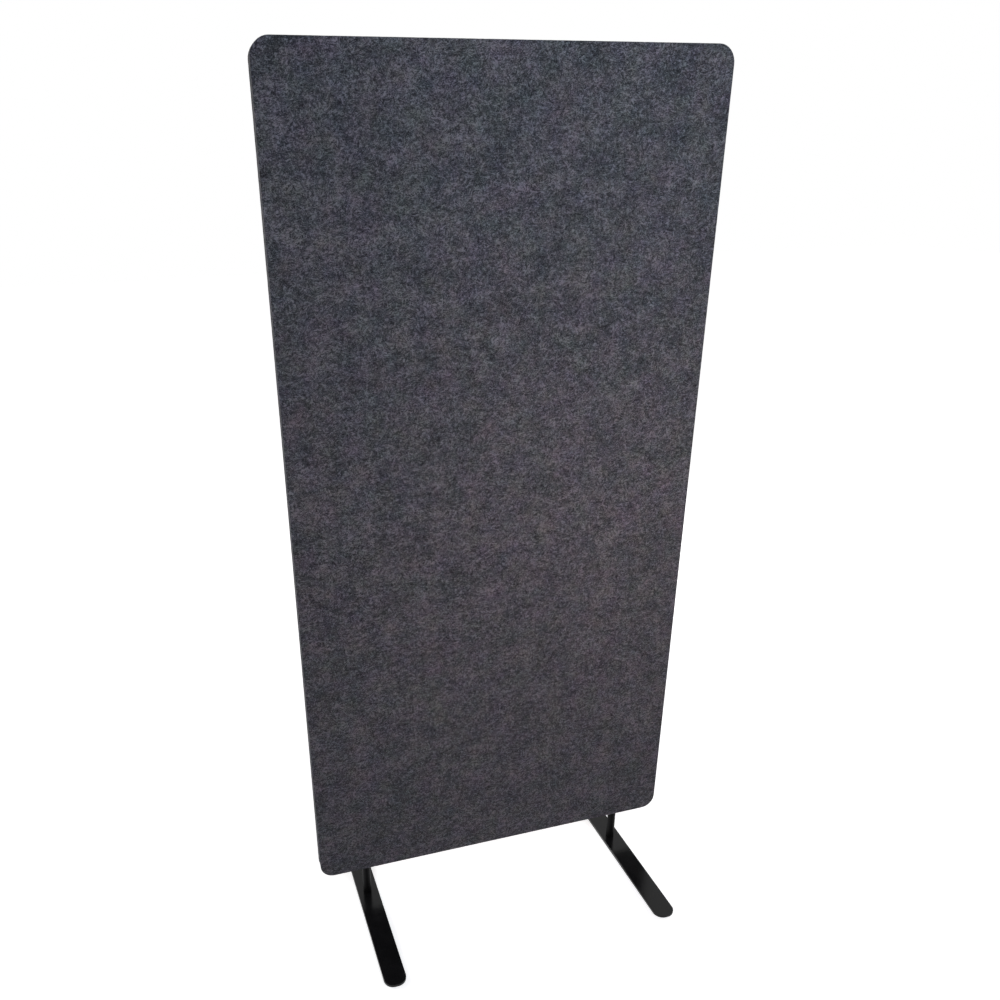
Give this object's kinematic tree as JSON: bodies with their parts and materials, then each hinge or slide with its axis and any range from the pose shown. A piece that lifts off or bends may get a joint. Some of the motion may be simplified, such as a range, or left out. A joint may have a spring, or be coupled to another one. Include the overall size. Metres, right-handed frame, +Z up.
{
  "type": "acoustic divider screen",
  "caption": "Free-standing acoustic screen: felt-covered upright panel with rounded corners, carried by slim round posts on flat foot bars with round ends.",
  "frame": {"origin": "on the floor, below the centre of the panel", "axes": "+X to the right seen from the front, +Y to the rear through the panel's thickness, +Z up"},
  "size_m": [0.8, 0.53, 1.65],
  "materials": {
    "felt": "needle-punched polyester felt, charcoal melange",
    "edge_felt": "the same felt, cut and pressed",
    "timber": "planed pine",
    "dowel_wood": "beech",
    "core_wadding": "polyester wadding slab",
    "plated_steel": "zinc plated",
    "black_coat": "black powder coat, semi-gloss",
    "glide_rubber": "matt"
  },
  "bodies": {
    "root": {"front_felt": "felt", "rear_felt": "felt", "edge_strip": "edge_felt", "left_stile": "timber", "right_stile": "timber", "top_rail": "timber", "cross_rail": "timber", "bottom_rail": "timber", "frame_dowels": "dowel_wood", "upper_core": "core_wadding", "lower_core": "core_wadding", "insert_left": "plated_steel", "insert_right": "plated_steel", "stud_left": "plated_steel", "stud_right": "plated_steel", "post_left": "black_coat", "post_right": "black_coat", "foot_plate_left": "black_coat", "foot_plate_right": "black_coat", "foot_screw_left": "plated_steel", "foot_screw_right": "plated_steel", "glide_pads_left": "glide_rubber", "glide_pads_right": "glide_rubber"}
  },
  "joints": []
}
